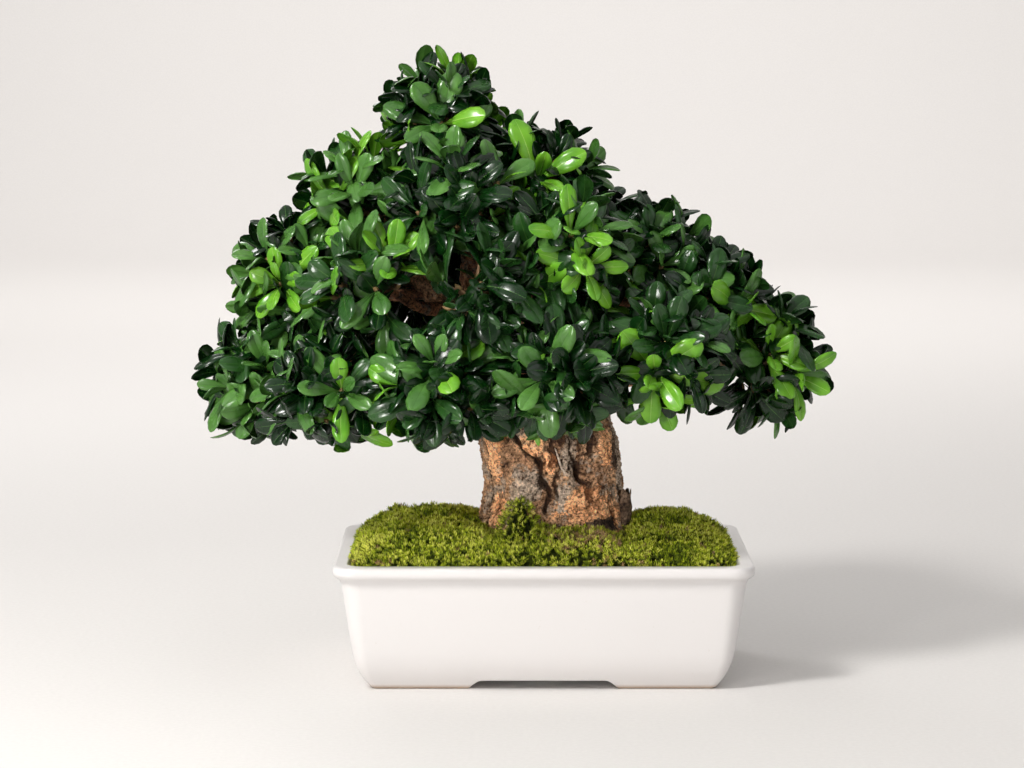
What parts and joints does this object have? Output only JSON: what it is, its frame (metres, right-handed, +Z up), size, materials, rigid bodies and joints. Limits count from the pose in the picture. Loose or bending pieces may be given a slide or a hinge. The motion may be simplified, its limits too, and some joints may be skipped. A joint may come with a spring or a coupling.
{
  "type": "japanese pittosporum bonsai",
  "caption": "Bonsai of Japanese pittosporum: squat gnarled trunk under a broad dense crown of leathery leaves, on moss in a white glazed rectangular pot.",
  "frame": {"origin": "centre of the whole plant's footprint box, on the surface that the pot stands on", "axes": "+X to the right of the pot's long front, +Y away from the front, through the plant's shortest extent, +Z up"},
  "size_m": [0.496, 0.3458, 0.481],
  "materials": {
    "glaze": "gloss",
    "soil": "matte",
    "moss": "matte",
    "bark": "matte",
    "foliage": "gloss"
  },
  "bodies": {
    "root": {"pot": "glaze", "soil": "soil", "moss_left": "moss", "moss_right": "moss", "moss_front": "moss", "moss_back": "moss", "trunk": "bark", "bough_far_left": "bark", "bough_far_right": "bark", "bough_apex": "bark", "bough_upper_left": "bark", "bough_right_upper": "bark", "bough_front_low": "bark", "bough_back_low": "bark", "bough_left_front_low": "bark", "bough_left_back_low": "bark", "bough_left_mid": "bark", "bough_front_left": "bark", "bough_back_left": "bark", "bough_front_upper": "bark", "bough_top_right": "bark", "bough_top_back": "bark", "bough_centre_right": "bark", "bough_back_right": "bark", "bough_front_centre": "bark", "bough_front_right_low": "bark", "bough_right_front_low": "bark", "bough_right_mid": "bark", "bough_right_back_low": "bark", "bough_back_right_low": "bark", "foliage_far_left": "foliage", "foliage_far_right": "foliage", "foliage_apex": "foliage", "foliage_upper_left": "foliage", "foliage_right_upper": "foliage", "foliage_front_low": "foliage", "foliage_back_low": "foliage", "foliage_left_front_low": "foliage", "foliage_left_back_low": "foliage", "foliage_left_mid": "foliage", "foliage_front_left": "foliage", "foliage_back_left": "foliage", "foliage_front_upper": "foliage", "foliage_top_right": "foliage", "foliage_top_back": "foliage", "foliage_centre_right": "foliage", "foliage_back_right": "foliage", "foliage_front_centre": "foliage", "foliage_front_right_low": "foliage", "foliage_right_front_low": "foliage", "foliage_right_mid": "foliage", "foliage_right_back_low": "foliage", "foliage_back_right_low": "foliage"}
  },
  "joints": []
}
